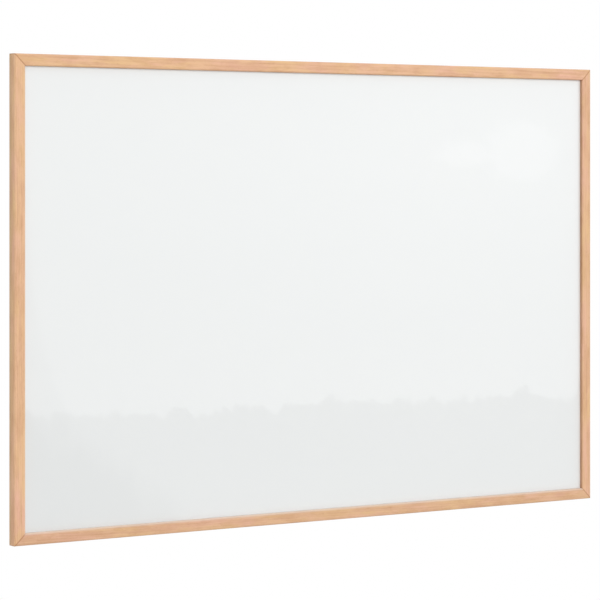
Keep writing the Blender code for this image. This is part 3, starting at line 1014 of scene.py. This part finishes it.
def studio_world(sizes):
    """White to the camera, and even light for everything that is matt.

    What gloss reflects is a bright room with a darker left edge, over a darker lower part that is
    darkest at its left, and with a paler window to the right.
    """
    world = bpy.data.worlds.new("studio")
    bpy.context.scene.world = world
    tree = NodeTree(world)
    direction = tree.node("ShaderNodeTexCoord", output="Generated")
    x, y, z = tree.parts(direction)
    azimuth = x.math("ARCTAN2", y * -1)
    rightwards = azimuth.band(math.radians(26), math.radians(38.5))

    edge_noise = tree.noise(tree.joined(azimuth * 150, z * 30, 0.0), detail=4, roughness=0.65, seed=3.0)
    slope, level = 0.045, -0.0836
    edge = level + (azimuth - math.radians(34)) * slope + (edge_noise - 0.5) * 0.024
    upper = (z - edge).band(-0.0003, 0.0003)

    raised = z.band(-0.076, 0.024)
    sky = 1.08 + raised * 0.21 + rightwards * (0.3 + raised * 0.17)
    bend = ((z + 0.005) * -13.3).math("MAXIMUM", 0.0) ** 2 * math.radians(0.65)
    left_noise = tree.noise(tree.joined(azimuth * 90, z * 90, 0.0), detail=3, seed=9.0)
    from_left = azimuth - (bend + math.radians(27.3)) + (left_noise - 0.5) * math.radians(0.25)
    sky = sky - from_left.band(math.radians(0.03), math.radians(-0.03)) * 0.24

    corner = (azimuth - math.radians(27.1)) * -16.2 - (z + 0.0886) * 24.2 + (edge_noise - 0.5) * 1.1
    ground = 0.5 + rightwards * 0.25 - corner.band(-0.35, 0.2) * 0.45

    frayed = tree.noise(tree.joined(azimuth * 170, z * 210, 0.0), detail=4, roughness=0.6, seed=6.0)
    ragged = (frayed - 0.5) * 1.5
    window = soft_spot(azimuth, z, (37.86, 0.58), (0.78, 0.67), ragged)
    pane = soft_spot(azimuth, z, (36.6, 0.53), (0.6, 0.27), ragged * 1.3)
    seen = ground + (sky - ground) * upper + window.math("MAXIMUM", pane) * 0.28
    seen = seen * (1 - y.band(-0.3, 0.4) * 0.65)

    gloss = tree.node("ShaderNodeBackground", inputs={"Color": seen, "Strength": 1.0})
    softbox = (1 + x * 0.35 + z * 0.65) * sizes.ambient
    even = tree.node("ShaderNodeBackground", inputs={"Color": softbox, "Strength": 1.0})
    white = tree.node("ShaderNodeBackground", inputs={"Color": (1, 1, 1), "Strength": 1.0})
    camera_ray, glossy_ray, transmitted_ray = (
        tree.node("ShaderNodeLightPath", output=f"Is {kind} Ray")
        for kind in ("Camera", "Glossy", "Transmission")
    )
    mirrored = glossy_ray.math("MAXIMUM", transmitted_ray)
    lit = tree.node("ShaderNodeMixShader", inputs={0: mirrored, 1: even, 2: gloss})
    shown = tree.node("ShaderNodeMixShader", inputs={0: camera_ray, 1: lit, 2: white})
    tree.node("ShaderNodeOutputWorld", inputs={"Surface": shown})


def make_camera(sizes):
    lens = bpy.data.cameras.new("camera")
    lens.lens = sizes.lens
    lens.sensor_width = 36
    lens.shift_y = sizes.shift
    made = bpy.data.objects.new("camera", lens)
    bpy.context.scene.collection.objects.link(made)
    front = Vector((BOARD_MIDDLE.x, BOARD_LOW.y, BOARD_MIDDLE.z))
    made.location = front + Vector(sizes.place)
    made.rotation_euler = (math.radians(90), 0, -sizes.turn)
    bpy.context.scene.camera = made


# Operators


class WHITEBOARD_OT_frame(bpy.types.Operator):
    """Builds the four lengths of moulding, mitred, sanded and sunk for their fittings"""

    bl_idname = "whiteboard.frame"
    bl_label = "Build Frame"

    def execute(self, context):
        board = context.scene.whiteboard
        for seed, side in enumerate(SIDE_NAMES):
            half_length, _ = side_reach(side)
            bm = moulding_bmesh(2 * half_length, board.moulding)
            bmesh.ops.transform(bm, matrix=side_frame(side), verts=bm.verts)
            beech = wood_material(side, board.moulding, seed * 3.7 + 1, PAINTED_SIDE_SHADE[side])
            tools = fitting_cutters(side, board)
            add_piece(f"beech_{side}", to_mesh(bm, side), beech, side, tools)
        return {"FINISHED"}


class WHITEBOARD_OT_panel(bpy.types.Operator):
    """Builds the lacquered steel sheet, its core and the backing board"""

    bl_idname = "whiteboard.panel"
    bl_label = "Build Panel"

    def execute(self, context):
        sizes = context.scene.whiteboard.panel
        layers = (
            ("writing_sheet", "lacquered_sheet", lacquer_material, "writing_lacquer", sizes.corner),
            ("core_board", "fibreboard_core", fibreboard_material, "core_fibreboard", sizes.board_corner),
            ("backing_board", "hardboard_back", hardboard_material, "back_hardboard", sizes.board_corner),
        )
        for node, name, finish, slot, corner in layers:
            bm = panel_bmesh(node, corner, sizes.edge_ease)
            add_piece(name, to_mesh(bm, name), finish(sizes), node)
        return {"FINISHED"}


class WHITEBOARD_OT_nails(bpy.types.Operator):
    """Builds the V-nails that draw each mitre together"""

    bl_idname = "whiteboard.nails"
    bl_label = "Build V-Nails"

    def execute(self, context):
        sizes = context.scene.whiteboard.fittings
        steel = shared_material("bright_steel", steel_material, sizes)
        for corner in CORNER_NAMES:
            for node in nodes_named(f"v_nail_{corner}"):
                low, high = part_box(node)
                bm = v_nail_bmesh(sizes, high.y - low.y)
                ease_edges(bm, sizes.edge_ease, sharper_than=50)
                bmesh.ops.translate(bm, verts=bm.verts, vec=(0, high.y, 0))
                bmesh.ops.transform(bm, matrix=nail_place(node, corner, sizes), verts=bm.verts)
                add_piece(f"steel_{node}", to_mesh(bm, node), steel, node)
        return {"FINISHED"}


class WHITEBOARD_OT_points(bpy.types.Operator):
    """Builds the flexible points that hold the panel in its rebate"""

    bl_idname = "whiteboard.points"
    bl_label = "Build Points"

    def execute(self, context):
        board = context.scene.whiteboard
        sizes = board.fittings
        steel = shared_material("bright_steel", steel_material, sizes)
        land = back_land(board.moulding)
        for side in SIDE_NAMES:
            for node in points_of(side):
                bm = point_bmesh(node, sizes, land)
                bmesh.ops.transform(bm, matrix=side_place(side, node), verts=bm.verts)
                add_piece(f"steel_{node}", to_mesh(bm, node), steel, node)
        return {"FINISHED"}


class WHITEBOARD_OT_hangers(bpy.types.Operator):
    """Builds the two sawtooth hangers and the screws that hold them"""

    bl_idname = "whiteboard.hangers"
    bl_label = "Build Hangers"

    def execute(self, context):
        sizes = context.scene.whiteboard.fittings
        zinc = zinc_material(sizes)
        steel = shared_material("bright_steel", steel_material, sizes)
        radius, below = sizes.screw_radius + sizes.recess_gap, -5 * MM
        for node in hanger_plates():
            holes = []
            for screw in nodes_named(node.replace("hanger_", "hanger_screw_")):
                axis, _, top = screw_axis(screw)
                holes.append(bore_cutter(axis, radius, below, top, 32))
            mesh = to_mesh(hanger_bmesh(node, sizes), node)
            add_piece(f"zinc_{node}", mesh, zinc, node, holes)
        for node in nodes_named("hanger_screw"):
            bm = screw_bmesh(node, sizes)
            bmesh.ops.translate(bm, verts=bm.verts, vec=screw_axis(node)[0])
            mesh = to_mesh(bm, node)
            add_piece(f"steel_{node}", mesh, steel, node, [cross_cutter(node, sizes)])
        return {"FINISHED"}


class WHITEBOARD_OT_stage(bpy.types.Operator):
    """Sets up the floor, the soft studio light and the camera"""

    bl_idname = "whiteboard.stage"
    bl_label = "Set Up Stage"

    def execute(self, context):
        sizes = context.scene.whiteboard.stage
        make_floor(sizes)
        studio_world(sizes)
        key = lamp("key_lamp", place=(0.0, -4.5, 1.4), size=2.6, power=sizes.key)
        key.visible_glossy = False
        warm_green = (0.98, 1.0, 0.87)
        lamp("left_lamp", place=(-3.3, 0.9, 0.4), size=1.8, power=sizes.fill, colour=warm_green)
        make_camera(sizes)
        context.scene.view_settings.view_transform = "Standard"
        return {"FINISHED"}


class WHITEBOARD_PT_sidebar(bpy.types.Panel):
    """Lists the steps that build the whiteboard, and its sizes"""

    bl_idname = "WHITEBOARD_PT_sidebar"
    bl_label = "Whiteboard"
    bl_space_type = "VIEW_3D"
    bl_region_type = "UI"
    bl_category = "Whiteboard"

    def draw(self, context):
        for step in STEPS:
            self.layout.operator(step.bl_idname)
        board = context.scene.whiteboard
        for group in (board.moulding, board.panel, board.fittings, board.stage):
            box = self.layout.box()
            for name in group.__annotations__:
                box.prop(group, name)


STEPS = (
    WHITEBOARD_OT_frame,
    WHITEBOARD_OT_panel,
    WHITEBOARD_OT_nails,
    WHITEBOARD_OT_points,
    WHITEBOARD_OT_hangers,
    WHITEBOARD_OT_stage,
)
SETTINGS = (MouldingSettings, PanelSettings, FittingSettings, StageSettings, WhiteboardSettings)


def register():
    for made in (*SETTINGS, *STEPS, WHITEBOARD_PT_sidebar):
        bpy.utils.register_class(made)
    bpy.types.Scene.whiteboard = PointerProperty(type=WhiteboardSettings)


def unregister():
    del bpy.types.Scene.whiteboard
    for made in reversed((*SETTINGS, *STEPS, WHITEBOARD_PT_sidebar)):
        bpy.utils.unregister_class(made)


def main():
    register()
    for step in STEPS:
        group, name = step.bl_idname.split(".")
        getattr(getattr(bpy.ops, group), name)()


if __name__ == "__main__":
    main()
